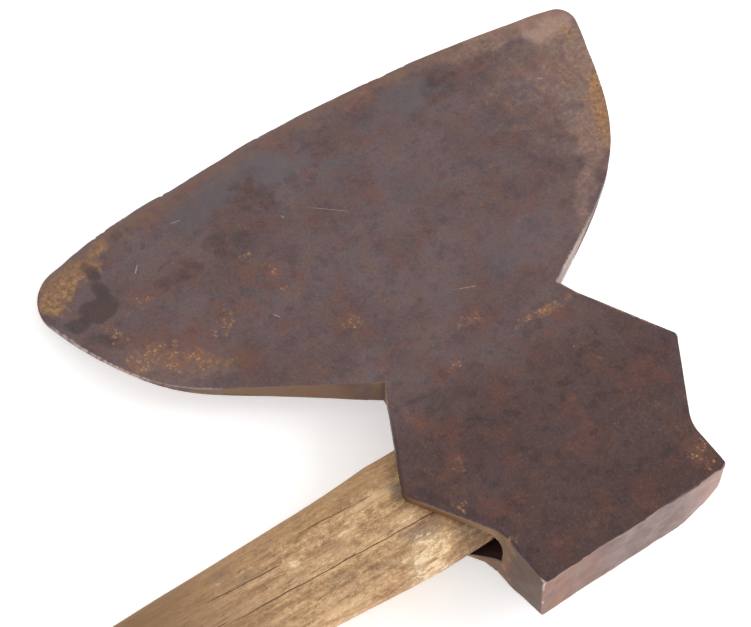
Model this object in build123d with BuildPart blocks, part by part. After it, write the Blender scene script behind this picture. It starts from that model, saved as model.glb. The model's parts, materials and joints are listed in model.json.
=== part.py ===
from build123d import *
import os
from math import atan2, cos, sin

os.makedirs("parts", exist_ok=True)

# A broad axe lying with its flat back up, in millimetres.
# The head is drawn in its own plane: x runs along the cutting edge and away from the grip,
# y from the poll face to the cutting edge, and z out of the flat back, which is z = 0.

# Head, in plan: the two sides were forged by eye and differ by a millimetre or two
head_length = 258
poll_half_width = 50
poll_corner = (50.2, 0)
poll_corner_radius = 3
waist = (-49.7, 28.5)
far_waist = (50.4, 25.5)
waist_radius = 20
lug_half_width = 74
lug_y = 67
far_lug = (74.7, 64.8)
far_lug_radius = 3
lug_radius = 5
seam_y = 107
seam_half_width = 53
far_seam = (51.3, seam_y)
neck_half_width = 47.5
neck_y = 117
left_tip = (-158, 243)
right_tip = (151.5, 241)
left_tip_radius = 20
right_tip_radius = 9

# Head, in thickness
poll_thickness = 32.8
swell_depth = 36.5
swell_y = 28
shoulder_y = 86
shoulder_depth = 34.5
seam_depth = 17.5

# Poll's lower corner away from the grip, worn round: the arc's start, middle and end in x, z,
# and how fast the wear runs out toward the eye
worn_arc = ((8, -poll_thickness), (39.3, -26.5), (poll_half_width, -9))
worn_clear = 30
worn_spread = 0.5

# The poll's sides lean in toward the underside, and the lean runs out at the waist.
lean_top = -4
lean_slope = 0.094
lean_spread = 0.1

# Below the flat back's lugs the body is narrower on the blade's side, and the ears under the
# eye are thin: both leave the lugs as thin plates.
body_neck_y = 100
lower_ear_bottom = -31
lower_ear_x = 52.5
underside_half_width = 47.5

# The blade's underside is crowned: at each y it is deepest in the middle of the blade
# and comes up to the given depth at the given half width.
# (y, depth in the middle, depth at the side, half width of the side)
blade_sections = (
    (seam_y, 17.5, 16.5, 53),
    (144, 12.5, 8, 91),
    (183, 8.5, 1.6, 136),
    (225, 5.6, 1.6, 152),
    (head_length + 6, 3.5, 1.6, 152),
)
section_half_width = 165
clear_of_back = 10

# Sharpening bevel on the underside, a shallow cone about the centre of the edge's arc
edge_radius = 790
edge_land = 0.5
bevel_slope = 0.19
bevel_reach = 50
clear_of_edge = 10

# Steel laid into the flat back along the cutting edge
steel_width = 34
steel_depth = 2.6

# Eye, a D-shaped slot along x; its floor rises toward the poll, from eye_floor_y to eye_ledge
eye_start_y = 26
eye_floor_y = 39.5
eye_ledge = -21.5
eye_end_y = 95
eye_top = -4
eye_bottom = -29
eye_poll_radius = 11
eye_blade_radius = 8

# Haft, a flattened oval that stands in the blade's end of the eye
haft_fit = 0.05
haft_center_y = 64.5
haft_end_x = 52
haft_shoulder_x = -75
tongue_widths = (55, 57.5)
corner_share = 0.46
# (x, y of the centre, drop of the centre, width, thickness)
haft_stations = (
    (haft_shoulder_x, haft_center_y, 0, 57.5, 24.9),
    (-130, 65.8, 0, 50.4, 25),
    (-200, 68, 0, 45.5, 25),
    (-320, 68.5, 0.6, 39.5, 25),
    (-450, 68, 1.6, 37, 26),
    (-540, 67.5, 2.4, 40, 28),
    (-585, 67, 2.8, 43, 29.5),
)
butt_fillet = 6

# Wedges in the end of the haft
wedge_depth = 58
wedge_width = 46
wedge_mouth = 6
wedge_point = 1
cross_wedge_depth = 30
cross_wedge_height = 18
cross_wedge_mouth = 4
cross_wedge_point = 0.8
cross_wedge_spacing = 24

# At rest the cutting edge and the shoulder of the eye touch the ground, which pitches the head.
rest_tilt = atan2(shoulder_depth - edge_land, head_length - shoulder_y)

# The origin is on the flat back, straight above the middle of the eye.
eye_center_y = (eye_start_y + eye_end_y) / 2
eye_center_z = (eye_top + eye_bottom) / 2
eye_height = eye_top - eye_bottom
tongue_thickness = eye_height - 2 * haft_fit
toward_edge = Vector(0, cos(rest_tilt), -sin(rest_tilt))

# Three planes through the middle of the poll's upper edge: the flat back, the one that halves
# the head, facing +x, and the poll face
head = Plane(
    origin=toward_edge * -eye_center_y,
    x_dir=(1, 0, 0),
    z_dir=(0, sin(rest_tilt), cos(rest_tilt)),
)
side = Plane(origin=head.origin, x_dir=head.y_dir, z_dir=head.x_dir)
front = Plane(origin=head.origin, x_dir=head.x_dir, z_dir=-head.y_dir)

# The space beside the body, under the upper lugs
with BuildSketch() as beside_body:
    with BuildLine():
        Polyline(
            (lug_half_width, lug_y),
            (neck_half_width, body_neck_y),
            (neck_half_width, neck_y),
            (section_half_width, neck_y),
            (section_half_width, lug_y),
            close=True,
        )
    make_face()
    mirror(about=Plane.YZ)

# Eye body: the poll, the eye's walls with their pointed lugs, and the shoulder down to the weld
with BuildPart() as eye_body:
    with BuildSketch(head) as eye_plan:
        with BuildLine():
            Polyline(
                (-poll_half_width, 0),
                poll_corner,
                far_waist,
                far_lug,
                far_seam,
                (-seam_half_width, seam_y),
                (-lug_half_width, lug_y),
                waist,
                close=True,
            )
        make_face()
        for corner, radius in (
            (far_lug, far_lug_radius),
            ((-lug_half_width, lug_y), lug_radius),
            (far_waist, waist_radius),
            (waist, waist_radius),
            (poll_corner, poll_corner_radius),
        ):
            fillet(eye_plan.vertices().sort_by_distance(corner)[0], radius=radius)
    extrude(amount=-2 * swell_depth)
    with BuildSketch(side):
        with BuildLine():
            Polyline((0, -poll_thickness), (0, 0), (seam_y, 0), (seam_y, -seam_depth))
            Spline(
                (seam_y, -seam_depth),
                (shoulder_y, -shoulder_depth),
                (swell_y, -swell_depth),
                (0, -poll_thickness),
            )
        make_face()
    extrude(amount=section_half_width, both=True, mode=Mode.INTERSECT)
    with BuildSketch(side) as eye:
        with BuildLine():
            Polyline(
                (eye_start_y, eye_top),
                (eye_end_y, eye_top),
                (eye_end_y, eye_bottom),
                (eye_floor_y, eye_bottom),
                (eye_start_y, eye_ledge),
                close=True,
            )
        make_face()
        fillet(eye.vertices().group_by(Axis.X)[-1], radius=eye_blade_radius)
        fillet(eye.vertices().group_by(Axis.X)[0].sort_by(Axis.Y)[-1], radius=eye_poll_radius)
    extrude(amount=section_half_width, both=True, mode=Mode.SUBTRACT)
    with BuildSketch(head.offset(eye_top)):
        add(beside_body.sketch)
    extrude(amount=-2 * swell_depth, mode=Mode.SUBTRACT)
    with BuildSketch(front):
        with BuildLine():
            Polyline(
                (underside_half_width, -swell_depth),
                (lower_ear_x, lower_ear_bottom),
                (section_half_width, lower_ear_bottom),
                (section_half_width, -2 * swell_depth),
                (underside_half_width, -2 * swell_depth),
                close=True,
            )
        make_face()
        mirror(about=Plane.YZ)
    extrude(amount=-seam_y, mode=Mode.SUBTRACT)
    with BuildSketch(front):
        with BuildLine():
            ThreePointArc(*worn_arc)
            Polyline(
                worn_arc[2],
                (poll_half_width + worn_clear, worn_arc[2][1]),
                (poll_half_width + worn_clear, -poll_thickness - worn_clear),
                (worn_arc[0][0], -poll_thickness - worn_clear),
                worn_arc[0],
            )
        make_face()
    wear = head.y_dir + (head.x_dir - head.z_dir) * worn_spread
    extrude(amount=worn_clear, dir=wear, mode=Mode.SUBTRACT)
    for way in (-1, 1):
        with BuildSketch(front):
            Polygon(
                (way * poll_half_width, lean_top),
                (way * section_half_width, lean_top),
                (way * section_half_width, lean_top - 2 * swell_depth),
                (way * (poll_half_width - 2 * swell_depth * lean_slope), lean_top - 2 * swell_depth),
                align=None,
            )
        run_out = head.y_dir + head.x_dir * way * lean_spread
        extrude(amount=waist[1], dir=run_out, mode=Mode.SUBTRACT)
eye_body.part.label = "eye_body"
export_step(eye_body.part, "parts/eye_body.step")

# Whole forged blade, before it is divided into iron plate and laid steel
with BuildPart() as forged_blade:
    with BuildSketch(head) as blade_plan:
        with BuildLine():
            Spline(
                (-neck_half_width, neck_y),
                (-91, 144),
                (-125, 167.5),
                (-145, 201),
                left_tip,
                tangents=((-40, 24), (-11, 42)),
            )
            ThreePointArc(left_tip, (0, head_length), right_tip)
            Spline(
                (neck_half_width, neck_y),
                (89, 140.5),
                (120.5, 169.5),
                (141, 211),
                right_tip,
                tangents=((41, 23), (10, 31)),
            )
            Polyline(
                (neck_half_width, neck_y),
                far_seam,
                (-seam_half_width, seam_y),
                (-neck_half_width, neck_y),
            )
        make_face()
        fillet(blade_plan.vertices().sort_by(Axis.X)[0], radius=left_tip_radius)
        fillet(blade_plan.vertices().sort_by(Axis.X)[-1], radius=right_tip_radius)
    extrude(amount=-swell_depth)
    for y, middle_depth, side_depth, half_width in blade_sections:
        rise = (middle_depth - side_depth) * (section_half_width / half_width) ** 2
        corner = (section_half_width, rise - middle_depth)
        with BuildSketch(front.offset(-y)):
            with BuildLine():
                ThreePointArc((-section_half_width, corner[1]), (0, -middle_depth), corner)
                Polyline(
                    corner,
                    (section_half_width, clear_of_back),
                    (-section_half_width, clear_of_back),
                    (-section_half_width, corner[1]),
                )
            make_face()
    loft(mode=Mode.INTERSECT)
    with BuildSketch(side):
        with BuildLine():
            Polyline(
                (head_length + clear_of_edge, clear_of_edge * bevel_slope - edge_land),
                (head_length - bevel_reach, -bevel_reach * bevel_slope - edge_land),
                (head_length - bevel_reach, -swell_depth),
                (head_length + clear_of_edge, -swell_depth),
                close=True,
            )
        make_face()
    edge_center = head.origin + head.y_dir * (head_length - edge_radius)
    revolve(axis=Axis(edge_center, head.z_dir), revolution_arc=360, mode=Mode.SUBTRACT)
    with BuildSketch(head.offset(eye_top)):
        add(beside_body.sketch)
    extrude(amount=-2 * swell_depth, mode=Mode.SUBTRACT)

# Steel bit: a strip laid into the flat back along the cutting edge
with BuildPart() as steel_bit:
    add(forged_blade.part)
    with BuildSketch(head):
        with Locations((0, head_length - edge_radius)):
            Circle(edge_radius + clear_of_edge)
            Circle(edge_radius - steel_width, mode=Mode.SUBTRACT)
    extrude(amount=-steel_depth, mode=Mode.INTERSECT)
steel_bit.part.label = "steel_bit"
export_step(steel_bit.part, "parts/steel_bit.step")

# Blade plate: the rest of the blade, of iron
with BuildPart() as blade_plate:
    add(forged_blade.part)
    add(steel_bit.part, mode=Mode.SUBTRACT)
blade_plate.part.label = "blade_plate"
export_step(blade_plate.part, "parts/blade_plate.step")

# Iron cross wedges: two small ones, driven across the wooden wedge
with BuildPart() as cross_wedges:
    with BuildSketch(head.offset(eye_center_z)):
        with Locations(
            (haft_end_x, haft_center_y - cross_wedge_spacing / 2),
            (haft_end_x, haft_center_y + cross_wedge_spacing / 2),
        ):
            Polygon(
                (0, -cross_wedge_mouth / 2),
                (0, cross_wedge_mouth / 2),
                (-cross_wedge_depth, cross_wedge_point / 2),
                (-cross_wedge_depth, -cross_wedge_point / 2),
                align=None,
            )
    extrude(amount=cross_wedge_height / 2, both=True)
cross_wedges.part.label = "cross_wedges"
export_step(cross_wedges.part, "parts/cross_wedges.step")

# Wooden wedge: it spreads the end of the haft along the eye's whole length
with BuildPart() as wood_wedge:
    with BuildSketch(front.offset(-haft_center_y)):
        with BuildLine():
            Polyline(
                (haft_end_x, eye_center_z - wedge_mouth / 2),
                (haft_end_x, eye_center_z + wedge_mouth / 2),
                (haft_end_x - wedge_depth, eye_center_z + wedge_point / 2),
                (haft_end_x - wedge_depth, eye_center_z - wedge_point / 2),
                close=True,
            )
        make_face()
    extrude(amount=wedge_width / 2, both=True)
    add(cross_wedges.part, mode=Mode.SUBTRACT)
wood_wedge.part.label = "wood_wedge"
export_step(wood_wedge.part, "parts/wood_wedge.step")

# Haft: the tongue inside the eye, then a taper to the grip that swells again at the butt
with BuildPart() as haft:
    for x, width in zip((haft_end_x, haft_shoulder_x), tongue_widths):
        with BuildSketch(side.offset(x)):
            with Locations((haft_center_y, eye_center_z)):
                RectangleRounded(width, tongue_thickness, corner_share * tongue_thickness)
    loft(ruled=True)
    for x, y, drop, width, thickness in haft_stations:
        with BuildSketch(side.offset(x)):
            with Locations((y, eye_center_z - drop)):
                RectangleRounded(width, thickness, corner_share * thickness)
    loft()
    fillet(haft.edges().group_by(Axis.X)[0], radius=butt_fillet)
    add(wood_wedge.part, mode=Mode.SUBTRACT)
    add(cross_wedges.part, mode=Mode.SUBTRACT)
haft.part.label = "haft"
export_step(haft.part, "parts/haft.step")
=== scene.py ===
import json
import math

import bmesh
import bpy
import numpy as np
from mathutils import Matrix, Vector
from mathutils.bvhtree import BVHTree
from mathutils.kdtree import KDTree


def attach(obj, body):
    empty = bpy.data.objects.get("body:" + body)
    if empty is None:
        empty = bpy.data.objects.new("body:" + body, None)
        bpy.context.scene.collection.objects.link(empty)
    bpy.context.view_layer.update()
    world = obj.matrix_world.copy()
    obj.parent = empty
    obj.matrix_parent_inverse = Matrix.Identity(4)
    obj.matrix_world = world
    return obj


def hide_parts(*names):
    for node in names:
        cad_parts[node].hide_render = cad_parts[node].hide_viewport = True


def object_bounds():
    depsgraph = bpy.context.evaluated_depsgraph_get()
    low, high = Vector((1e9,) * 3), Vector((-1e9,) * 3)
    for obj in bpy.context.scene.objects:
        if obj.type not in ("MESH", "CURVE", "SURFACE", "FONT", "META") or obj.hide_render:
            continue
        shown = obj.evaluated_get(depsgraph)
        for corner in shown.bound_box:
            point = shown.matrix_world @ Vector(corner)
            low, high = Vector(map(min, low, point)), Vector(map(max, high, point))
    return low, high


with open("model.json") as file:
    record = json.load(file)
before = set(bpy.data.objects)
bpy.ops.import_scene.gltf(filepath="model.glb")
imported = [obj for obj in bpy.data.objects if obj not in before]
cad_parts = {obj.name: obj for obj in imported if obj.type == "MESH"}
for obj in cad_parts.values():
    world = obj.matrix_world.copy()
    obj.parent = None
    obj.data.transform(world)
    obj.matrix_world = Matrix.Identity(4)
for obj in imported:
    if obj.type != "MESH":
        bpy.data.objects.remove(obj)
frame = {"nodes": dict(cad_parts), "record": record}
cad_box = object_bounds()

# The broad axe: forged iron head with a steel edge, a hewn wooden haft, and the wedges that hold it.
# Every piece is worked out in the head's own millimetres: x runs along the cutting edge, away from
# the grip, y runs from the poll face to the cutting edge, and z comes out of the flat back.

MM = 1000.0
METALS = ("eye_body", "blade_plate", "steel_bit")


# ---------------- the head's frame

def unit(vector):
    vector = np.array(vector, dtype=float)
    return vector / np.linalg.norm(vector)


MOUNTS = {mount["name"]: mount for mount in frame["record"]["mounts"]}
BACK_POINT = np.array(MOUNTS["flat_back"]["pos_m"])
OUT_OF_BACK = unit(MOUNTS["flat_back"]["axis"])
TOWARD_EDGE = -unit(MOUNTS["poll_face"]["axis"])
HEAD_AXES = np.array([np.cross(TOWARD_EDGE, OUT_OF_BACK), TOWARD_EDGE, OUT_OF_BACK])
POLL_REACH = np.dot(np.array(MOUNTS["poll_face"]["pos_m"]) - BACK_POINT, TOWARD_EDGE)
HEAD_ORIGIN = BACK_POINT + TOWARD_EDGE * POLL_REACH


def to_head(points):
    """Points of the row, in metres, as head millimetres."""
    return (np.asarray(points) - HEAD_ORIGIN) @ HEAD_AXES.T * MM


def to_row(points):
    """Points in head millimetres, as metres of the row."""
    return np.asarray(points) / MM @ HEAD_AXES + HEAD_ORIGIN


def node_points(name):
    """A CAD node's corner points in head millimetres."""
    mesh = frame["nodes"][name].data
    flat = np.empty(len(mesh.vertices) * 3)
    mesh.vertices.foreach_get("co", flat)
    return to_head(flat.reshape(-1, 3))


def head_box(name):
    """The lowest and highest head coordinates of a CAD node."""
    points = node_points(name)
    return points.min(axis=0), points.max(axis=0)


def node_tree(*names):
    """The surfaces of CAD nodes, in head millimetres, ready for nearest-point and ray tests."""
    points = []
    faces = []
    for name in names:
        start = len(points)
        points.extend(Vector(p) for p in node_points(name))
        for face in frame["nodes"][name].data.polygons:
            faces.append([start + corner for corner in face.vertices])
    return BVHTree.FromPolygons(points, faces)


HAFT_LOW, HAFT_HIGH = head_box("haft")
EDGE_Y = head_box("steel_bit")[1][1]
EDGE_RADIUS = 790.0  # of the curve that the cutting edge follows


# ---------------- seeded noise

NOISE_VALUES = 4096  # a power of two, so that a bit mask wraps the keys
KEY_FACTORS = np.array([73856093, 19349663, 83492791])


def lattice_noise(points, size, seed):
    """Smooth noise between -1 and 1, with a fresh random value about every size millimetres."""
    table = np.random.default_rng(seed).uniform(-1.0, 1.0, NOISE_VALUES)
    place = np.asarray(points) / size
    cell = np.floor(place).astype(np.int64)
    part = place - cell
    part = part * part * (3.0 - 2.0 * part)
    total = np.zeros(len(place))
    for corner in range(8):
        step = np.array([corner & 1, corner >> 1 & 1, corner >> 2 & 1])
        key = (cell + step) * KEY_FACTORS
        value = table[(key[:, 0] ^ key[:, 1] ^ key[:, 2]) & (NOISE_VALUES - 1)]
        share = np.where(step, part, 1.0 - part)
        total += value * share.prod(axis=1)
    return total


def layered_noise(points, layers, seed):
    """The sum of several noises; layers holds (size, strength) pairs."""
    total = np.zeros(len(points))
    for number, (size, strength) in enumerate(layers):
        total += strength * lattice_noise(points, size, seed + number)
    return total


def ramp(value, low, high):
    """0 at low, 1 at high, smooth between; low may be the larger."""
    part = np.clip((value - low) / (high - low), 0.0, 1.0)
    return part * part * (3.0 - 2.0 * part)


# ---------------- stains

# Each stain, or patch of painted sheen or highlight: x, y, half length, half width, angle in degrees,
# strength.
HEAD_STAINS_AND_SHEEN = {
    "golden": [
        (-136, 240, 15, 8, 20, 1.0), (-113, 246, 12, 6, 35, 0.8), (-146, 233, 6, 8, 0, 0.9),
        (-119, 240, 4, 7, 0, 0.7), (129, 188, 26, 5, 64, 1.0), (140, 229, 6, 9, 0, 0.5),
        (36, 107, 22, 2.5, 0, 0.45), (2, 123, 7, 4, 0, 0.35),
    ],
    "tan": [
        (116, 206, 56, 36, 72, 0.4), (128, 210, 44, 22, 78, 0.65), (137, 214, 30, 11, 82, 1.0),
        (136, 232, 14, 12, 0, 1.0), (118, 180, 32, 10, 58, 0.85), (96, 154, 24, 6, 45, 0.7),
        (112, 243, 36, 8, -10, 0.75), (70, 252, 44, 5, -4, 0.5), (-131, 240, 18, 9, 20, 0.5),
        (-118, 176, 30, 12, -40, 0.5),
    ],
    # Pale: a lighter patch at the right wing's top corner, partly a paler stain, partly a painted sheen
    # where that corner faces the key light.
    "pale": [
        (134, 238, 15, 10, 0, 1.0), (112, 248, 20, 4, -10, 0.7),
    ],
    "specks": [
        (-131, 186, 8, 6, 0, 1.0), (-118, 182, 16, 9, -40, 1.0), (-103, 169, 16, 7, -33, 0.9),
        (-132, 201, 9, 8, 0, 0.8), (-117, 211, 18, 5, 0, 0.7), (-87, 181, 9, 8, 0, 0.6),
        (-59, 198, 16, 8, -40, 0.6), (-54, 180, 9, 4, -30, 0.6), (-72, 205, 12, 6, 0, 0.4),
        (124, 182, 22, 9, 62, 1.0), (124, 208, 16, 12, 0, 0.6), (36, 107, 22, 3, 0, 0.7),
        (3, 123, 9, 5, 0, 0.6), (-17, 106, 6, 3, 0, 0.9), (-41, 150, 6, 5, 0, 0.9),
        (-45, 140, 4, 3, 0, 0.7), (33, 85, 8, 4, 40, 0.5), (-50, 100, 14, 3, 96, 0.7),
        (44, 9, 8, 8, 0, 0.8), (-56, 47, 12, 4, 120, 0.6), (-46, 66, 7, 5, 0, 0.6),
        (-50, 22, 8, 5, 0, 0.8), (36, 42, 20, 14, 30, 0.35),
    ],
    "dark": [
        (-122, 236, 4, 7, 0, 0.9), (-124, 227, 5, 8, 0, 1.0), (-130, 219, 9, 7, 0, 1.0),
        (-141, 217, 8, 4, -10, 0.9), (-135, 202, 10, 4, 120, 0.7), (-103, 246, 5, 3, 30, 0.8),
        (-91, 214, 14, 5, 0, 0.6), (-40, 230, 14, 12, 0, 0.6), (-63, 217, 11, 11, 0, 0.6),
        (71, 234, 13, 10, 0, 0.55), (32, 239, 13, 8, 0, 0.4), (4, 239, 10, 7, 0, 0.4),
        (-55, 130, 8, 5, 0, 0.5), (-51, 11, 4, 11, 0, 0.6), (-29, 97, 16, 10, 0, 0.5),
        (-60, 52, 22, 2.5, 121, 0.8), (-20, 60, 26, 16, 0, 0.3), (10, 30, 30, 14, 0, 0.3),
    ],
    "rust": [
        (-20, 9, 36, 7, 0, 0.4), (45, 14, 8, 16, 0, 0.6), (-50, 62, 8, 12, 0, 0.5),
        (-47, 95, 5, 18, 0, 0.5), (-38, 26, 14, 8, 0, 0.3), (10, 62, 14, 8, 0, 0.2),
        (34, 96, 20, 7, 0, 0.4), (-10, 128, 30, 8, 0, 0.35), (-108, 178, 36, 11, -40, 0.7),
        (-58, 192, 20, 10, -30, 0.5), (-100, 214, 30, 8, 0, 0.5), (40, 220, 22, 12, 0, 0.3),
    ],
    # Blue: partly bluish patches in the patina, partly a painted sheen where the satin iron reflects the
    # white studio.
    "blue": [
        (-50, 244, 30, 9, 8, 1.0), (-20, 239, 20, 8, -10, 1.0), (0, 221, 12, 10, 0, 0.8),
        (21, 200, 18, 12, 0, 0.9), (48, 240, 22, 12, 0, 0.9), (71, 208, 14, 10, 0, 0.5),
        (41, 140, 16, 11, 0, 0.8), (4, 136, 14, 7, 0, 0.7), (63, 150, 14, 12, 0, 0.6),
        (-20, 185, 18, 14, 0, 0.5), (-70, 238, 14, 7, 0, 0.8),
    ],
    "ochre": [
        (-62, 47, 26, 7, 121, 0.9), (-50, 27, 6, 4, 90, 0.4), (-51, 110, 13, 5, 100, 1.0),
        (-84, 142, 44, 8, 148, 0.5),
    ],
    # In worn, the patch at x 64, y 126 is a painted highlight on the right wing's neck wall, where it
    # faces the key light.
    "worn": [
        (0, 0, 64, 2.5, 0, 1.0), (-49, 1, 4, 4, 0, 1.0), (-141, 196, 30, 4, 112, 1.0),
        (-118, 163, 18, 4, 140, 0.5), (64, 84, 20, 3, 118, 0.6), (-62, 47, 22, 4, 121, 0.12),
        (64, 126, 26, 6, 38, 0.8), (-8, 258, 11, 2, 0, 0.9), (17, 258, 9, 2, 0, 0.5),
        (-94, 254, 5, 2, 0, 0.9), (56, 256, 22, 2, 0, 0.35),
    ],
}
HAFT_STAINS = {
    "cream": [
        (-79, 41, 12, 8, 0, 1.0), (-88, 34, 8, 3.5, 0, 0.9), (-89, 44, 4, 2.5, 0, 0.7),
        (-103, 67, 8, 4, -10, 0.9), (-96, 71, 5, 3, 0, 0.7), (-76, 60, 9, 3, 20, 0.7),
        (-86, 76, 12, 4, -6, 0.5), (-112, 62, 12, 3, 0, 0.4), (-129, 68, 4, 2.5, 0, 0.7),
        (-130, 40, 22, 4, 0, 0.4), (-161, 79, 5, 2, 0, 0.5), (-190, 84, 4, 2, 0, 0.5),
    ],
    "grey": [
        (-70, 73, 7, 9, 0, 0.9), (-76, 50, 9, 5, 0, 0.8), (-85, 39, 3.5, 5, 0, 0.9),
        (-58, 42, 7, 10, 0, 0.8), (-97, 47, 9, 3, 0, 0.5), (-118, 50, 8, 3, 0, 0.4),
        (-159, 80, 7, 4, 0, 0.7), (-150, 74, 9, 3, 0, 0.5), (-134, 62, 7, 2.5, 0, 0.3),
    ],
}

# Lines finer than a stain: start x, start y, end x, end y, half width.
SCRATCHES = [
    (-102.6, 229.8, -106.4, 225.8, 0.4),
    (-68.1, 173.9, -65.9, 170.5, 0.4),
    (-34.6, 215.9, -34.1, 213.8, 0.3),
    (-22.8, 213.4, -7.1, 200.1, 0.16),
    (5.6, 139.5, 16.2, 135.1, 0.22),
    (110.5, 213.2, 113.6, 212.1, 0.4),
    (-78.6, 240, -73.7, 239.2, 0.25),
]
CRACKS = [
    (-182, 61.4, -60, 54.6, 0.34),
    (-226, 66, -164, 61.2, 0.22),
    (-126, 79.4, -82, 76.6, 0.22),
    (-174, 74.2, -133, 70.8, 0.26),
    (-345, 71, -240, 67, 0.22),
    (-430, 74, -352, 72.5, 0.26),
    (-525, 60, -440, 62.5, 0.26),
]

# The noise that frays a stain's outline, and how far out a stain fades, in half lengths.
STAIN_FRAY = [(9.0, 0.35), (3.5, 0.2)]
STAIN_REACH = 1.3
STAIN_CORE = 0.5


def stain_mask(points, stains, seed):
    """How strongly each point is stained, between 0 and 1, with a ragged outline."""
    ragged = layered_noise(points, STAIN_FRAY, seed)
    mask = np.zeros(len(points))
    for x, y, length, width, angle, strength in stains:
        turn = math.radians(angle)
        dx = points[:, 0] - x
        dy = points[:, 1] - y
        along = (dx * math.cos(turn) + dy * math.sin(turn)) / length
        aside = (dy * math.cos(turn) - dx * math.sin(turn)) / width
        spread = np.hypot(along, aside) + ragged
        mask = np.maximum(mask, strength * ramp(spread, STAIN_REACH, STAIN_CORE))
    return mask


def stain_masks(points, tables, first_seed):
    """One mask for each kind of stain, each with its own seed."""
    masks = {}
    for number, (kind, stains) in enumerate(tables.items()):
        masks[kind] = stain_mask(points, stains, first_seed + 3 * number)
    return masks


# ---------------- mesh tools

MERGE_GAP = 0.005  # corners closer than this are one point
CONTACT_GAP = 0.03  # a face this close to a neighbour belongs to a joint
FLAT_ANGLE = math.radians(0.5)  # faces that turn less than this become one face
RIM_ANGLE = math.radians(32)  # an outer rim turns more than this
ROUNDED_ANGLE = math.radians(12)  # the same, once the rims are rounded
SMOOTH_ANGLE = 35.0  # degrees; sharper edges are shaded as creases

RIM_ROUNDING = 1.3
POLL_SIDE_ROUNDING = 3.6  # on the poll's grip side, which is the most battered
POLL_SIDE = (-45.0, 27.0, -0.5)  # x and y below these, and z above
ROUNDING_SEGMENTS = 3
FULL_THICKNESS = 6.0  # thinner metal than this is rounded less
LEAST_ROUNDING = 0.06  # the share that is left on the thinnest metal
OPEN_THICKNESS = 50.0  # taken where there is no far side
RAY_INSET = 0.4  # a thickness is measured this far in from the edge
RAY_DEPTH = 0.02  # and from this far under the face

GRID_SHIFT = 0.31  # keeps the grid's planes off the parts' own flat faces
GRID_MARGIN = 0.05
GRID_MERGE = 0.06
CUT_TOLERANCE = 1e-4
NO_PLANES = ((), (), ())


def head_mesh(name, neighbours):
    """A CAD node's surface in head millimetres; faces against a neighbour get material index 1."""
    mesh = bmesh.new()
    mesh.from_mesh(frame["nodes"][name].data)
    for vertex, place in zip(mesh.verts, node_points(name)):
        vertex.co = Vector(place)
    bmesh.ops.remove_doubles(mesh, verts=mesh.verts, dist=MERGE_GAP)
    touching = node_tree(*neighbours)
    for face in mesh.faces:
        gap = touching.find_nearest(face.calc_center_median())[3]
        face.material_index = int(gap is not None and gap < CONTACT_GAP)
    bmesh.ops.dissolve_limit(
        mesh,
        angle_limit=FLAT_ANGLE,
        verts=mesh.verts,
        edges=mesh.edges,
        delimit={"MATERIAL"},
    )
    return mesh


def show(made):
    """Put a new object in the scene."""
    bpy.context.scene.collection.objects.link(made)
    return made


def edge_middle(edge):
    return (edge.verts[0].co + edge.verts[1].co) / 2.0


def outer_edges(mesh, angle):
    """Edges where the open surface turns outward by more than angle; joints are left out."""
    edges = []
    for edge in mesh.edges:
        is_open = all(face.material_index == 0 for face in edge.link_faces)
        if is_open and edge.calc_face_angle_signed(0.0) > angle:
            edges.append(edge)
    return edges


def local_thickness(tree, edge):
    """How thick the metal is beside an edge, measured square to each of its two faces."""
    middle = edge_middle(edge)
    thinnest = OPEN_THICKNESS
    for face in edge.link_faces:
        inward = face.calc_center_median() - middle
        inward -= inward.dot(face.normal) * face.normal
        start = middle + inward.normalized() * RAY_INSET - face.normal * RAY_DEPTH
        distance = tree.ray_cast(start, -face.normal)[3]
        if distance is not None:
            thinnest = min(thinnest, distance)
    return thinnest


def rim_round(tree, edge):
    """How round an outer edge is worn: most along the poll's grip side, less where it is thin."""
    middle = edge_middle(edge)
    x, y, z = POLL_SIDE
    if middle.x < x and middle.y < y and middle.z > z:
        return POLL_SIDE_ROUNDING
    share = local_thickness(tree, edge) / FULL_THICKNESS
    return RIM_ROUNDING * min(1.0, max(LEAST_ROUNDING, share))


def hold(mesh):
    """Put a mesh in a working object, for modifiers to act on."""
    shape = bpy.data.meshes.new("working")
    mesh.to_mesh(shape)
    mesh.free()
    return show(bpy.data.objects.new("working", shape))


def release(holder):
    """The working object's mesh as its modifiers leave it; the object itself goes."""
    mesh = bmesh.new()
    mesh.from_object(holder, bpy.context.evaluated_depsgraph_get())
    shape = holder.data
    bpy.data.objects.remove(holder)
    bpy.data.meshes.remove(shape)
    return mesh


def round_rims(mesh):
    """Round the outer edges of the metal; joints between parts stay sharp."""
    tree = BVHTree.FromBMesh(mesh)
    weight = mesh.edges.layers.float.new("bevel_weight_edge")
    for edge in outer_edges(mesh, RIM_ANGLE):
        edge[weight] = rim_round(tree, edge) / POLL_SIDE_ROUNDING
    holder = hold(mesh)
    bevel = holder.modifiers.new("round", "BEVEL")
    bevel.limit_method = "WEIGHT"
    bevel.width = POLL_SIDE_ROUNDING
    bevel.segments = ROUNDING_SEGMENTS
    return release(holder)


def cut_faces(mesh, faces, axis, cuts):
    """Cut faces by planes square to an axis, halving the list of planes each time."""
    if not len(cuts) or not faces:
        return
    middle = len(cuts) // 2
    at = cuts[middle]
    normal = Vector((0.0, 0.0, 0.0))
    normal[axis] = 1.0
    pieces = set(faces)
    for face in faces:
        pieces.update(face.edges)
        pieces.update(face.verts)
    cut = bmesh.ops.bisect_plane(
        mesh,
        geom=list(pieces),
        plane_co=normal * at,
        plane_no=normal,
        dist=CUT_TOLERANCE,
    )
    below = []
    above = []
    for face in cut["geom"]:
        if isinstance(face, bmesh.types.BMFace):
            reach = [vertex.co[axis] for vertex in face.verts]
            side = below if min(reach) + max(reach) < 2.0 * at else above
            side.append(face)
    cut_faces(mesh, below, axis, cuts[:middle])
    cut_faces(mesh, above, axis, cuts[middle + 1:])


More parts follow.
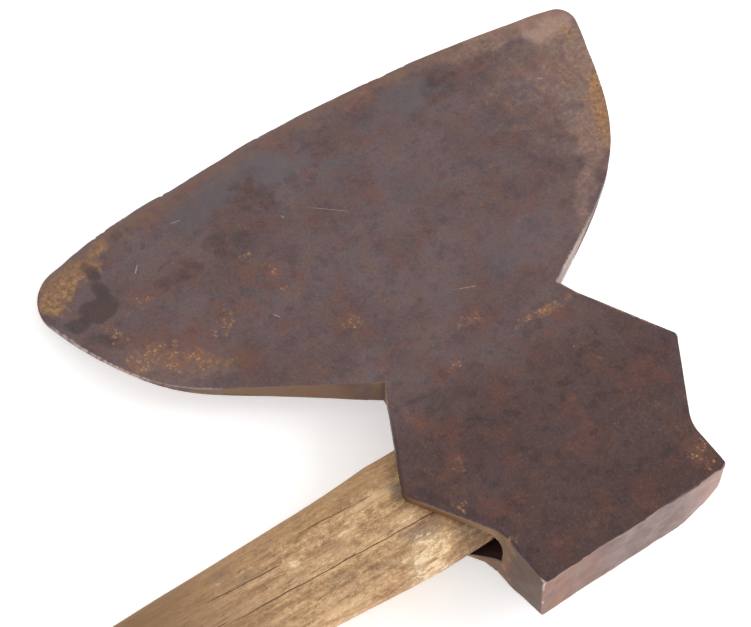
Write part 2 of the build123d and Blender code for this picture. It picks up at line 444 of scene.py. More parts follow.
def grid_lines(low, high, step, extra):
    """Planes on one grid that all the parts share, so that their seams have matching points."""
    first = math.ceil(low / step + GRID_SHIFT) - GRID_SHIFT
    lines = set(np.arange(first * step, high, step).round(4))
    lines.update(value for value in extra if low < value < high)
    return sorted(lines)


def refine(mesh, steps, planes=NO_PLANES):
    """Cut the whole surface on the shared grid, and on a few more planes for each axis."""
    for axis in range(3):
        reach = [vertex.co[axis] for vertex in mesh.verts]
        low = min(reach) + GRID_MARGIN
        high = max(reach) - GRID_MARGIN
        cut_faces(mesh, mesh.faces[:], axis, grid_lines(low, high, steps[axis], planes[axis]))
    bmesh.ops.remove_doubles(mesh, verts=mesh.verts, dist=GRID_MERGE)


def open_normals(mesh):
    """A unit normal for each point, from the faces that no neighbour covers."""
    normals = np.zeros((len(mesh.verts), 3))
    mesh.verts.index_update()
    for face in mesh.faces:
        if face.material_index == 0:
            push = np.array(face.normal) * face.calc_area()
            for vertex in face.verts:
                normals[vertex.index] += push
    length = np.linalg.norm(normals, axis=1, keepdims=True)
    return normals / np.maximum(length, 1e-9)


def rim_distance(mesh, points):
    """How far each point is from the nearest outer rim."""
    middles = [edge_middle(edge) for edge in outer_edges(mesh, ROUNDED_ANGLE)]
    tree = KDTree(len(middles))
    for number, middle in enumerate(middles):
        tree.insert(middle, number)
    tree.balance()
    return np.array([tree.find(Vector(point))[2] for point in points])


def mesh_points(mesh):
    return np.array([vertex.co[:] for vertex in mesh.verts])


def store_mask(shape, name, values):
    """Keep one value, or one vector, for each point, for the materials to read."""
    vectors = values.ndim == 2
    layer = shape.attributes.new(name, "FLOAT_VECTOR" if vectors else "FLOAT", "POINT")
    numbers = values.astype(np.float32).ravel()
    layer.data.foreach_set("vector" if vectors else "value", numbers)


def finished(name, mesh, points, masks, material, smooth_angle=SMOOTH_ANGLE):
    """Put a worked mesh in the scene as the piece that stands for the CAD node of its name."""
    for vertex, place in zip(mesh.verts, to_row(points)):
        vertex.co = Vector(place)
    for face in mesh.faces:
        face.smooth = True
        face.material_index = 0
    mesh.normal_update()
    for edge in mesh.edges:
        edge.smooth = edge.is_manifold and edge.calc_face_angle(0.0) < math.radians(smooth_angle)
    shape = bpy.data.meshes.new(name)
    mesh.to_mesh(shape)
    mesh.free()
    for mask_name, values in masks.items():
        store_mask(shape, mask_name, values)
    shape.materials.append(material)
    piece = show(bpy.data.objects.new(name, shape))
    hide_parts(name)
    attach(piece, "root")


# ---------------- forged metal

FORGING_WAVES = [(42.0, 0.22), (17.0, 0.12), (6.0, 0.04), (2.4, 0.02)]
PIT_DEPTH = 0.16
OUTLINE_WAVES = [(26.0, 0.38), (11.0, 0.2), (4.5, 0.1)]
BURR_WAVES = [(9.0, 0.35), (3.6, 0.3), (1.8, 0.15)]
BURR_PUSH = 0.25  # how far the burr stands out on average
BURR_NEAR = (2.6, 0.3)  # the burr fades in over these distances from the poll's top edge
POLL_NEAR = (1.2, 0.2)  # the poll face fades in over these distances
DENT_DEPTH = 0.3
EDGE_NEAR = (1.6, 0.1)  # the nicks fade in over these distances from the cutting edge
NICK_DEPTH = 0.7
SWELL = 1.6  # the edge stands out a little on the grip side
SWELL_X = -102.0
SWELL_SPREAD = (34.0, 8.0)
SWELL_REACH = (16.0, 0.0)
RIM_FADE = 0.9  # how quickly the rim mask fades away from a rim
FORGE_GRID = (1.3, 1.3, 1.5)
POLL_PLANES = ((), (0.3, 0.7, 1.3, 2.2), (-0.3, -0.7, -1.3, -2.2))
ALONG_EDGE = np.array([1.0, 0.0, 0.0])
FLATTENED = np.array([1.0, 1.0, 0.25])


def forging_relief(points):
    """The uneven surface that the hammer and old rust leave, in millimetres outward."""
    waves = layered_noise(points, FORGING_WAVES, seed=11)
    pits = lattice_noise(points, size=3.3, seed=21) + 0.5 * lattice_noise(points, size=1.9, seed=22)
    return waves - PIT_DEPTH * ramp(pits, 0.75, 1.2)


def outline_wander(points, normals):
    """Side walls wander a little, as hand-cut iron does."""
    side = 1.0 - np.abs(normals[:, 2])
    return side * layered_noise(points * FLATTENED, OUTLINE_WAVES, seed=31)


def poll_burr(points):
    """How far hammering has pushed iron out over the top edge of the poll."""
    near = ramp(np.hypot(points[:, 1], points[:, 2]), *BURR_NEAR)
    return near * (BURR_PUSH + layered_noise(points * ALONG_EDGE, BURR_WAVES, seed=41))


def poll_dents(points):
    """How deep the shallow dents from striking are, on the poll face only."""
    face = ramp(points[:, 1], *POLL_NEAR)
    dents = lattice_noise(points, size=7.0, seed=51) + 0.6 * lattice_noise(points, size=3.2, seed=52)
    return face * DENT_DEPTH * ramp(dents, 0.25, 1.0)


def edge_nicks(points):
    """How far the cutting edge's points draw back: nicks, slow waves, and a swell that stands out."""
    depth = EDGE_RADIUS - np.hypot(points[:, 0], points[:, 1] - EDGE_Y + EDGE_RADIUS)
    line = points * ALONG_EDGE
    waves = 0.22 * lattice_noise(line, size=13.0, seed=61) + 0.12 * lattice_noise(line, size=4.0, seed=62)
    nicks = NICK_DEPTH * ramp(lattice_noise(line, size=2.7, seed=63), 0.72, 1.0)
    from_swell = np.abs(points[:, 0] - SWELL_X)
    swell = SWELL * ramp(from_swell, *SWELL_SPREAD) * ramp(depth, *SWELL_REACH)
    return ramp(depth, *EDGE_NEAR) * (nicks - waves) - swell


def battered(points, normals):
    """The metal's points as forging, striking and use have left them."""
    lift = forging_relief(points) + outline_wander(points, normals)
    moved = points + normals * lift[:, None]
    burr = poll_burr(points)
    moved[:, 1] -= burr
    moved[:, 2] += 0.5 * np.maximum(burr, 0.0)
    faces_poll = np.abs(normals[:, 1]) > 0.5
    moved[:, 1] += poll_dents(points) * faces_poll
    moved[:, 1] -= edge_nicks(points)
    return moved


def forge(name, material, planes=NO_PLANES):
    """One part of the head, with rounded rims, a forged surface and its stains."""
    others = [other for other in METALS if other != name]
    mesh = round_rims(head_mesh(name, others))
    refine(mesh, FORGE_GRID, planes)
    points = mesh_points(mesh)
    mesh.normal_update()
    normals = open_normals(mesh)
    masks = {
        "head": points,
        "rim": np.exp(-rim_distance(mesh, points) / RIM_FADE),
        "side": 1.0 - np.abs(normals[:, 2]),
    }
    masks.update(stain_masks(points, HEAD_STAINS_AND_SHEEN, first_seed=71))
    finished(name, mesh, battered(points, normals), masks, material)


# ---------------- the haft

RING_GAP = 2.2  # between rings along the haft
RING_POINTS = 300  # points in each ring
RAYS = 360  # rays that trace a ring before its points are spread evenly
CORE_Y = 67.0  # inside the haft all the way along
ABOVE = 60.0  # four places clear of the haft, for rays to start from
BELOW = -90.0
NEAR_SIDE = -60.0
FAR_SIDE = 200.0
RAY_REACH = 80.0  # the rays that trace a ring start this far from its middle
UPPER_SIDE = (-14.0, -9.0)  # the haft's upper side fades in over these heights
BUTT_GAPS = (0.06, 0.3, 0.8, 1.6, 2.7, 4.2)
BUTT_ROUND = 6.0
END_MARGIN = 0.4
CAP_SCALES = (0.96, 0.9, 0.82, 0.73, 0.64, 0.55, 0.45, 0.35, 0.25, 0.15, 0.06)
CAP_ROUGHNESS = 0.12
CAP_GRAIN = np.array([0.0, 1.0, 0.3])
HEWN_WAVES = [(11.0, 0.3), (5.0, 0.14)]
FIBRE_WAVES = [(2.3, 0.07), (1.1, 0.05)]
FLAKE_WAVES = [(5.0, 0.8), (2.0, 0.5)]
FLAKE_DEPTH = 0.18
IN_EYE = (-80.0, -70.0)  # the haft enters the eye over these x
EYE_INSET = 0.15  # it is calmer and a little thinner in the eye
BUTT_MASK = (3.5, 1.0)
EYE_END_MASK = (-1.2, -0.6)
WOOD_SMOOTH_ANGLE = 50.0


def crack_groove(points):
    """Depth of the drying cracks, cut into the haft's upper side."""
    depth = np.zeros(len(points))
    for start_x, start_y, end_x, end_y, width in CRACKS:
        part = (points[:, 0] - start_x) / (end_x - start_x)
        middle = start_y + (end_y - start_y) * part
        ends = ramp(part, 0.0, 0.12) * ramp(part, 1.0, 0.94)
        away = np.abs(points[:, 1] - middle)
        depth = np.maximum(depth, ends * ramp(away, width + 0.6, 0.1) * width * 1.2)
    return ramp(points[:, 2], *UPPER_SIDE) * depth


def surface_hit(tree, start, way):
    """The point where a ray first meets the surface."""
    return tree.ray_cast(Vector(start), Vector(way))[0]


def ring_around(tree, x):
    """Evenly spaced points around the haft at one place along it, and the middle of the ring."""
    top = surface_hit(tree, (x, CORE_Y, ABOVE), (0, 0, -1)).z
    bottom = surface_hit(tree, (x, CORE_Y, BELOW), (0, 0, 1)).z
    level = (top + bottom) / 2.0
    near = surface_hit(tree, (x, NEAR_SIDE, level), (0, 1, 0)).y
    far = surface_hit(tree, (x, FAR_SIDE, level), (0, -1, 0)).y
    middle = Vector((x, (near + far) / 2.0, level))
    outline = []
    for angle in np.linspace(0.0, 2.0 * math.pi, RAYS + 1)[:-1]:
        outward = Vector((0.0, math.cos(angle), math.sin(angle)))
        outline.append(np.array(surface_hit(tree, middle + outward * RAY_REACH, -outward)))
    outline.append(outline[0])
    outline = np.array(outline)
    run = np.concatenate([[0.0], np.cumsum(np.linalg.norm(np.diff(outline, axis=0), axis=1))])
    at = np.arange(RING_POINTS) / RING_POINTS * run[-1]
    ring = np.stack([np.interp(at, run, outline[:, axis]) for axis in range(3)], axis=1)
    return ring, np.array(middle)


def haft_stations():
    """Places along the haft for its rings, closer together at the rounded butt."""
    butt = [HAFT_LOW[0] + gap for gap in BUTT_GAPS]
    start = HAFT_LOW[0] + BUTT_ROUND
    end = HAFT_HIGH[0] - END_MARGIN
    return butt + list(np.linspace(start, end, int((end - start) / RING_GAP)))


def cap_rings(ring, middle, outward):
    """Rings that close an end, drawn in toward its middle, with shallow checks and saw marks."""
    rings = []
    for scale in CAP_SCALES:
        inner = middle + (ring - middle) * scale
        rough = CAP_ROUGHNESS * lattice_noise(inner * CAP_GRAIN, size=1.7, seed=91)
        inner[:, 0] = ring[:, 0] + outward * rough
        rings.append(inner)
    return rings


def haft_relief(points):
    """Hewn facets, raised fibres and slow waves along the haft, in millimetres outward."""
    waves = layered_noise(points * np.array([0.16, 1.0, 1.0]), HEWN_WAVES, seed=101)
    fibre = layered_noise(points * np.array([0.03, 1.0, 1.0]), FIBRE_WAVES, seed=111)
    flakes = layered_noise(points * np.array([0.4, 1.0, 1.0]), FLAKE_WAVES, seed=121)
    relief = waves + fibre - FLAKE_DEPTH * ramp(flakes, 0.45, 0.6)
    inside = ramp(points[:, 0], *IN_EYE)
    return relief * (1.0 - inside) + inside * (0.15 * relief - EYE_INSET)


def ring_normals(body, middles):
    """Outward unit normals for rings of points."""
    around = np.roll(body, -1, axis=1) - np.roll(body, 1, axis=1)
    along = np.gradient(body, axis=0)
    normals = np.cross(along, around)
    normals /= np.linalg.norm(normals, axis=2, keepdims=True)
    outward = np.mean(np.sum(normals * (body - middles[:, None, :]), axis=2))
    return normals if outward > 0.0 else -normals


def skin(rings):
    """A closed surface through a stack of rings."""
    mesh = bmesh.new()
    rows = [[mesh.verts.new(Vector(point)) for point in ring] for ring in rings]
    for lower, upper in zip(rows, rows[1:]):
        for number in range(RING_POINTS):
            following = (number + 1) % RING_POINTS
            mesh.faces.new((lower[number], lower[following], upper[following], upper[number]))
    mesh.faces.new(rows[0])
    mesh.faces.new(rows[-1])
    bmesh.ops.recalc_face_normals(mesh, faces=mesh.faces)
    return mesh


def haft_mesh():
    """The haft as rings of points, closed at both ends."""
    tree = node_tree("haft")
    traced = [ring_around(tree, x) for x in haft_stations()]
    body = np.array([ring for ring, middle in traced])
    middles = np.array([middle for ring, middle in traced])
    flat = body.reshape(-1, 3)
    outward = ring_normals(body, middles).reshape(-1, 3)
    lift = haft_relief(flat) - crack_groove(flat)
    moved = (flat + outward * lift[:, None]).reshape(body.shape)
    butt = cap_rings(moved[0], middles[0], -1.0)
    eye_end = cap_rings(moved[-1], middles[-1], 1.0)
    return skin(butt[::-1] + list(moved) + eye_end)


def kerfed(mesh, wedge_names):
    """Cut the wedges' slots into the haft's end."""
    for vertex in mesh.verts:
        vertex.co = Vector(to_row(np.array(vertex.co)))
    holder = hold(mesh)
    for name in wedge_names:
        cut = holder.modifiers.new(name, "BOOLEAN")
        cut.operation = "DIFFERENCE"
        cut.solver = "EXACT"
        cut.object = frame["nodes"][name]
    return release(holder)


def carve_haft(material):
    mesh = kerfed(haft_mesh(), ["wood_wedge", "cross_wedges"])
    points = to_head(mesh_points(mesh))
    butt = ramp(points[:, 0] - HAFT_LOW[0], *BUTT_MASK)
    eye_end = ramp(points[:, 0] - HAFT_HIGH[0], *EYE_END_MASK)
    masks = {"head": points, "end": np.maximum(butt, eye_end)}
    masks.update(stain_masks(points, HAFT_STAINS, first_seed=151))
    finished("haft", mesh, points, masks, material, WOOD_SMOOTH_ANGLE)


# ---------------- the wedges

WEDGE_GRID = (2.0, 1.2, 1.2)
DRIVEN_END = (-1.5, -0.2)  # the struck end fades in over these distances from the haft's end


def drive_wedge(name, material, roughness, proud):
    """A wedge with a rough surface, its driven end standing a little proud of the haft."""
    mesh = head_mesh(name, ["haft"])
    for face in mesh.faces:
        face.material_index = 0
    refine(mesh, WEDGE_GRID)
    points = mesh_points(mesh)
    end = ramp(points[:, 0] - HAFT_HIGH[0], *DRIVEN_END)
    dents = layered_noise(points, [(4.0, roughness), (1.7, 0.5 * roughness)], seed=131)
    moved = points.copy()
    moved[:, 0] += end * (proud + dents)
    finished(name, mesh, moved, {"head": points, "end": end}, material)


# ---------------- material tools

def tone(red, green, blue):
    """A colour given as it looks on a screen, 0 to 255, as the linear values that nodes take."""
    linear = [((part / 255.0 + 0.055) / 1.055) ** 2.4 for part in (red, green, blue)]
    return (*linear, 1.0)


# Every tone by name, as it looks on a screen.
SCREEN_TONES = {
    "mauve": (104, 87, 89),
    "mauve shade": (94, 74, 74),
    "russet": (112, 72, 62),
    "olive": (104, 82, 62),
    "violet shade": (76, 60, 66),
    "brown": (118, 82, 68),
    "plum": (72, 56, 60),
    "light brown": (120, 86, 72),
    "plum black": (62, 48, 50),
    "eye brown": (66, 42, 38),
    "eye red": (112, 66, 54),
    "eye black": (48, 36, 37),
    "poll brown": (58, 38, 34),
    "light grit": (138, 114, 104),
    "dark grit": (54, 40, 40),
    "light freckle": (130, 110, 106),
    "dark freckle": (56, 42, 42),
    "sand": (160, 130, 113),
    "sand shade": (124, 96, 83),
    "blue grey": (96, 93, 98),
    "pale": (182, 148, 132),
    "rust": (116, 74, 54),
    "gold": (176, 136, 94),
    "gold shade": (112, 82, 58),
    "blot": (58, 47, 46),
    "rust haze": (136, 94, 68),
    "rust speck": (162, 118, 84),
    "bright speck": (196, 154, 112),
    "edge brown": (126, 94, 78),
    "edge grey": (104, 92, 92),
    "wall": (104, 75, 58),
    # painted shade for the poll's grip-side wall
    "flank_shade": (82, 58, 44),
    "lip": (56, 43, 52),
    "ochre": (146, 110, 72),
    "struck light": (132, 108, 105),
    "struck dark": (116, 92, 86),
    "struck rust": (142, 100, 80),
    "struck bright": (182, 150, 138),
    "struck freckle": (170, 150, 147),
    "struck pit": (88, 68, 64),
    "bare_and_highlight": (202, 182, 174),
    "haft": (198, 161, 122),
    "haft shade": (164, 126, 90),
    "wedge": (200, 168, 128),
    "wedge shade": (170, 136, 98),
    "dark fleck": (122, 88, 58),
    "light fleck": (226, 184, 136),
    "dark grain": (112, 76, 46),
    "light grain": (238, 202, 152),
    "cream wash": (220, 184, 140),
    "cream": (244, 216, 176),
    "grey": (118, 104, 94),
    "facet_shade": (156, 119, 82),
    # painted shade for the haft's side toward the cutting edge
    "handled": (124, 93, 66),
    "fibre": (104, 78, 56),
    "pore": (84, 62, 44),
    "crack": (44, 31, 22),
    "light ring": (150, 116, 84),
    "dark ring": (96, 70, 48),
}
TONES = {name: tone(*screen) for name, screen in SCREEN_TONES.items()}


class Shader:
    """A material's node tree, with a short call for each kind of node used here."""

    def __init__(self, name):
        self.material = bpy.data.materials.new(name)
        self.material.use_nodes = True
        self.tree = self.material.node_tree
        self.surface = self.tree.nodes["Principled BSDF"]

    def feed(self, socket, value):
        """Link a socket to another, or give it a value or a tone's name."""
        if isinstance(value, bpy.types.NodeSocket):
            self.tree.links.new(value, socket)
        else:
            socket.default_value = TONES[value] if isinstance(value, str) else value

    def node(self, kind, sockets, **settings):
        made = self.tree.nodes.new(kind)
        for setting, value in settings.items():
            setattr(made, setting, value)
        for socket, value in sockets.items():
            self.feed(made.inputs[socket], value)
        return made

    def attribute(self, name, output="Fac"):
        return self.node("ShaderNodeAttribute", {}, attribute_name=name).outputs[output]

    def split(self, vector):
        return self.node("ShaderNodeSeparateXYZ", {0: vector}).outputs

    def math(self, operation, first, second=0.0, clamp=False):
        sockets = {0: first, 1: second}
        return self.node("ShaderNodeMath", sockets, operation=operation, use_clamp=clamp).outputs[0]

    def plus(self, first, second):
        return self.math("ADD", first, second)

    def minus(self, first, second):
        return self.math("SUBTRACT", first, second)

    def times(self, *values):
        total = values[0]
        for value in values[1:]:
            total = self.math("MULTIPLY", total, value)
        return total

    def highest(self, values):
        total = values[0]
        for value in values[1:]:
            total = self.math("MAXIMUM", total, value)
        return total

    def step(self, value, low, high, top=1.0):
        """0 at low and top at high, smooth between."""
        sockets = {"Value": value, "From Min": low, "From Max": high, "To Max": top}
        return self.node("ShaderNodeMapRange", sockets, interpolation_type="SMOOTHSTEP").outputs[0]

    def place(self, points, size, shift):
        """Points scaled so that one unit is size millimetres, moved to a fresh part of the noise."""
        size = size if isinstance(size, tuple) else (size, size, size)
        sockets = {
            "Vector": points,
            "Location": (shift, 1.7 * shift, 2.3 * shift),
            "Scale": tuple(1.0 / side for side in size),
        }
        return self.node("ShaderNodeMapping", sockets).outputs[0]

    def noise(self, points, size, shift, detail=4.0, rough=0.6):
        """Layered noise, its coarsest waves about size millimetres across."""
        sockets = {
            "Vector": self.place(points, size, shift),
            "Scale": 1.0,
            "Detail": detail,
            "Roughness": rough,
        }
        return self.node("ShaderNodeTexNoise", sockets).outputs["Fac"]

    def cells(self, points, size, shift):
        """Distance from the middle of random cells, about size millimetres apart."""
        sockets = {"Vector": self.place(points, size, shift), "Scale": 1.0}
        return self.node("ShaderNodeTexVoronoi", sockets).outputs["Distance"]

    def mix(self, share, first, second):
        sockets = {0: share, 6: first, 7: second}
        return self.node("ShaderNodeMix", sockets, data_type="RGBA").outputs[2]

    def layer(self, colour, layers, within=None):
        """Lay tones over a colour; layers holds (pattern, low, high, share, tone)."""
        for pattern, low, high, share, over in layers:
            cover = self.step(pattern, low, high, share)
            cover = cover if within is None else self.times(cover, within)
            colour = self.mix(cover, colour, over)
        return colour

    def lines(self, x, y, lines, waver):
        """Fine marks along straight lines, thinning toward their ends; waver moves them aside."""
        marks = []
        for start_x, start_y, end_x, end_y, half_width in lines:
            length = math.hypot(end_x - start_x, end_y - start_y)
            ux = (end_x - start_x) / length
            uy = (end_y - start_y) / length
            dx = self.minus(x, start_x)
            dy = self.minus(y, start_y)
            along = self.plus(self.times(dx, ux), self.times(dy, uy))
            aside = self.minus(self.times(dy, ux), self.times(dx, uy))
            away = self.math("ABSOLUTE", self.plus(aside, waver))
            start = self.step(along, 0.0, 0.3 * length)
            end = self.step(along, length, 0.9 * length)
            marks.append(self.times(self.step(away, half_width, 0.3 * half_width), start, end))
        return self.highest(marks)

    def bump(self, height, distance):
        sockets = {"Height": height, "Distance": distance / MM, "Strength": 1.0}
        return self.node("ShaderNodeBump", sockets).outputs["Normal"]

    def finish(self, colour, roughness, metallic, normal, shine):
        sockets = {
            "Base Color": colour,
            "Roughness": roughness,
            "Metallic": metallic,
            "Normal": normal,
            "Specular IOR Level": shine,
        }
        for socket, value in sockets.items():
            self.feed(self.surface.inputs[socket], value)
        return self.material


# ---------------- iron and steel

# Where a tint fades in, from none to full.
EYE_END = (130.0, 62.0)  # y, from the neck into the eye
POLL_END = (40.0, 6.0)  # y, toward the poll
POLL_FACE = (1.1, 0.4)  # y, at the poll face
GRIP_SIDE = (-30.0, -44.0)  # x, toward the grip
FLANK_SHADE = (48.0, 26.0)  # y, along the poll's flank, whose wall is painted in shade
LIP = (104.0, 92.0)  # y, where the lip above the haft begins
# Where the wall of the wing away from the grip takes a painted highlight.
WING_X = (20.0, 40.0)
WING_Y = (10.0, 20.0)
POLL_MIDDLE = 12.0  # x, where the poll face is the least rusty
POLL_RUSTY = (14.0, 52.0)  # distance from there
POLL_BRIGHT = (20.0, 50.0)  # x, toward the poll face's bright end


def patina(shader, head, y, mottle, freckle):
    """Mauve-brown forge patina, darker and redder toward the poll."""
    clouds = shader.noise(head, 34.0, shift=3.1, detail=3.0)
    hue = shader.noise(head, 16.0, shift=27.0, detail=5.0)
    olive = shader.noise(head, 13.0, shift=33.0, detail=5.0, rough=0.62)
    patch = shader.noise(head, 4.6, shift=43.0, detail=6.0, rough=0.72)
    grit = shader.noise(head, 1.2, shift=83.0, detail=3.0, rough=0.8)
    colour = shader.mix(shader.step(clouds, 0.35, 0.65), "mauve shade", "mauve")
    colour = shader.layer(colour, [
        (hue, 0.5, 0.66, 0.55, "russet"),
        (olive, 0.52, 0.68, 0.35, "olive"),
        (olive, 0.48, 0.34, 0.4, "violet shade"),
        (mottle, 0.52, 0.72, 0.45, "brown"),
        (mottle, 0.47, 0.32, 0.42, "plum"),
        (patch, 0.52, 0.7, 0.3, "light brown"),
        (patch, 0.48, 0.32, 0.32, "plum black"),
        (y, *EYE_END, 0.66, "eye brown"),
    ])
    colour = shader.layer(colour, [
        (hue, 0.48, 0.64, 0.34, "eye red"),
        (mottle, 0.5, 0.34, 0.4, "eye black"),
    ], within=shader.step(y, *EYE_END))
    return shader.layer(colour, [
        (y, *POLL_END, 0.35, "poll brown"),
        (grit, 0.5, 0.64, 0.14, "light grit"),
        (grit, 0.5, 0.36, 0.2, "dark grit"),
        (freckle, 0.5, 0.75, 0.2, "light freckle"),
        (freckle, 0.46, 0.22, 0.3, "dark freckle"),
    ])


def stained(shader, head, colour, freckle, cool):
    """Blue-grey clouds and pale patches, each partly a painted sheen, tan washes, rusty and golden
    patches, and dark blots, all with grainy edges.
    """
    grain = shader.minus(shader.noise(head, 5.0, shift=51.0, detail=8.0, rough=0.78), 0.5)
    speckled = shader.step(freckle, 0.35, 0.65)
    sand = shader.mix(speckled, "sand shade", "sand")
    gold = shader.mix(speckled, "gold shade", "gold")
    # Each stain: mask, how ragged its edge is, low, high, share, tone.
    stains = [
        # the blue-grey clouds are partly a painted sheen
        ("blue", 1.0, 0.1, 1.1, 0.5 * cool, "blue grey"),
        ("tan", 1.5, 0.1, 1.15, 0.85, sand),
        # the pale patches are partly a painted sheen
        ("pale", 1.5, 0.0, 1.4, 0.6, "pale"),
        ("rust", 3.2, 0.2, 0.9, 0.4, "rust"),
        ("golden", 2.4, 0.2, 0.9, 0.85, gold),
        ("dark", 2.4, 0.2, 0.9, 0.6, "blot"),
    ]
    for mask, ragged, low, high, share, over in stains:
        pattern = shader.plus(shader.attribute(mask), shader.times(grain, ragged))
        colour = shader.layer(colour, [(pattern, low, high, share, over)])
    return colour


def edge_distance(shader, x, y):
    """Millimetres back from the curved cutting edge."""
    rise = shader.plus(y, EDGE_RADIUS - EDGE_Y)
    square = shader.plus(shader.times(x, x), shader.times(rise, rise))
    return shader.minus(EDGE_RADIUS, shader.math("SQRT", square))


def edged(shader, head, colour, x, y):
    """The rust-brown band behind the cutting edge, and the greyer edge itself."""
    edge = edge_distance(shader, x, y)
    grain = shader.noise(head, 9.0, shift=57.0, detail=8.0, rough=0.78)
    ragged = shader.plus(edge, shader.times(shader.minus(grain, 0.5), 40.0))
    return shader.layer(colour, [
        (ragged, 12.0, 0.0, 0.6, "edge brown"),
        (edge, 2.4, 0.8, 0.5, "edge grey"),
    ])


def walled(shader, colour, x, y, side, rim, mottle):
    """Browner side walls, painted shade on the poll's grip-side wall, a dark lip above the haft, and
    ochre rust around the eye and the neck.
    """
    walls = shader.times(shader.step(side, 0.2, 0.7), shader.step(mottle, 0.25, 0.6), 0.7)
    colour = shader.mix(walls, colour, "wall")
    grip_side = shader.step(x, *GRIP_SIDE)
    # Painted shade: the poll's wall on the grip side, which faces away from the key light, is darkened.
    flank_shade = shader.times(shader.step(side, 0.3, 0.7), grip_side, shader.step(y, *FLANK_SHADE), 0.85)
    colour = shader.mix(flank_shade, colour, "flank_shade")
    lip = shader.times(shader.step(rim, 0.2, 0.55), shader.step(side, 0.85, 0.5), grip_side)
    lip = shader.times(lip, shader.step(y, *LIP), shader.step(mottle, 0.3, 0.5), 0.75)
    colour = shader.mix(lip, colour, "lip")
    ochre = shader.times(shader.attribute("ochre"), shader.step(side, 0.12, 0.5), 0.8)
    return shader.mix(ochre, colour, "ochre")


def rusted(shader, head, colour):
    """Scattered orange rust specks, thick where the specks mask is strong; also the specks alone."""
    grains = shader.noise(head, 6.0, shift=14.3, detail=5.0, rough=0.65)
    wide = shader.attribute("specks")
    limit = shader.minus(0.68, shader.times(wide, 0.28))
    over = shader.math("MULTIPLY", shader.minus(grains, limit), 9.0, clamp=True)
    colour = shader.mix(shader.times(over, wide, 0.35), colour, "rust haze")
    ragged = shader.times(shader.noise(head, 1.4, shift=71.0), 0.5)
    large = shader.step(shader.plus(shader.cells(head, 2.8, shift=63.0), ragged), 0.68, 0.42)
    small = shader.step(shader.plus(shader.cells(head, 1.6, shift=67.0), ragged), 0.7, 0.42)
    speck = shader.times(shader.highest([large, small]), over)
    colour = shader.mix(shader.times(speck, 0.6), colour, "rust speck")
    bright = shader.times(small, over, shader.step(grains, 0.48, 0.6), wide)
    return shader.mix(shader.times(bright, 0.55), colour, "bright speck"), speck


def struck_and_lit(shader, head, x, mottle, freckle):
    """The poll face: mauve-grey where it was hammered, rustier toward both ends. Its tones are lighter
    than the iron elsewhere: partly hammered metal, partly painted light where the face turns toward the
    key light.
    """
    cloud = shader.noise(head, 9.0, shift=61.0)
    colour = shader.mix(shader.step(mottle, 0.3, 0.7), "struck light", "struck dark")
    from_middle = shader.math("ABSOLUTE", shader.minus(x, POLL_MIDDLE))
    rusty = shader.times(shader.step(from_middle, *POLL_RUSTY, 0.85), shader.step(cloud, 0.3, 0.6))
    colour = shader.mix(rusty, colour, "struck rust")
    return shader.layer(colour, [
        (x, *POLL_BRIGHT, 0.5, "struck bright"),
        (freckle, 0.5, 0.8, 0.35, "struck freckle"),
        (freckle, 0.45, 0.2, 0.35, "struck pit"),
    ])


def bare_metal_and_highlight(shader, x, y, side, rim, freckle):
    """Where metal shows: worn rims and a few scratches; and on the wall of the wing away from the grip, a
    painted highlight in the bare-metal colour, where that wall faces the key light.
    """
    # Painted highlight: the side wall of the wing away from the grip, where it faces the key light.
    lit_wing_wall = shader.times(side, shader.step(x, *WING_X), shader.step(y, *WING_Y), 0.6)
    rim_and_lit_wall = shader.step(shader.plus(rim, lit_wing_wall), 0.35, 0.8)
    worn = shader.times(shader.attribute("worn"), rim_and_lit_wall, shader.step(freckle, 0.28, 0.52))
    flat = shader.minus(1.0, side)
    marks = shader.lines(x, y, SCRATCHES, 0.0)
    return shader.highest([worn, shader.times(marks, shader.step(freckle, 0.3, 0.5), flat, 0.6)])


def iron_material(name, cool):
    """Aged forged iron or steel; cool is how strongly its blue-grey clouds show, which are partly a
    painted sheen.
    """
    shader = Shader(name)
    head = shader.attribute("head", "Vector")
    x, y = shader.split(head)[:2]
    rim = shader.attribute("rim")
    side = shader.attribute("side")
    mottle = shader.noise(head, 7.5, shift=5.7, detail=5.0)
    freckle = shader.noise(head, 2.2, shift=9.2, detail=6.0, rough=0.78)
    brushed = shader.noise(head, (9.0, 0.5, 9.0), shift=21.0, detail=2.0)
    colour = patina(shader, head, y, mottle, freckle)
    colour = stained(shader, head, colour, freckle, cool)
    colour = edged(shader, head, colour, x, y)
    colour = walled(shader, colour, x, y, side, rim, mottle)
    colour, speck = rusted(shader, head, colour)
    # The poll face takes its own, lighter tones: partly hammered metal, partly painted light.
    poll = shader.times(shader.step(y, *POLL_FACE), shader.step(side, 0.5, 0.9))
    colour = shader.mix(poll, colour, struck_and_lit(shader, head, x, mottle, freckle))
    # Bare metal on worn rims and scratches, and a painted highlight on the wing's wall.
    bare_and_highlight = bare_metal_and_highlight(shader, x, y, side, rim, freckle)
    colour = shader.mix(shader.times(bare_and_highlight, 0.85), colour, "bare_and_highlight")
    roughness = shader.plus(shader.plus(shader.times(mottle, 0.3), 0.34), shader.times(speck, 0.3))
    metallic = shader.plus(shader.times(bare_and_highlight, 0.4), shader.times(poll, 0.2))
    metallic = shader.math("ADD", metallic, 0.2, clamp=True)
    height = shader.plus(shader.times(mottle, 0.5), shader.times(freckle, 0.3))
    height = shader.plus(height, shader.times(brushed, 0.1))
    return shader.finish(colour, roughness, metallic, shader.bump(height, 0.3), shine=0.35)


# ---------------- wood

HANDLED = (-125.0, -205.0)  # x, from the rough end to the handled part
FACET_SHADE = (76.0, 82.0)  # y, across to the shaded facet
RING_HEART = (52.0, -58.0)  # y and z of the growth rings' heart
RING_PITCH = 2.6  # radians for each millimetre


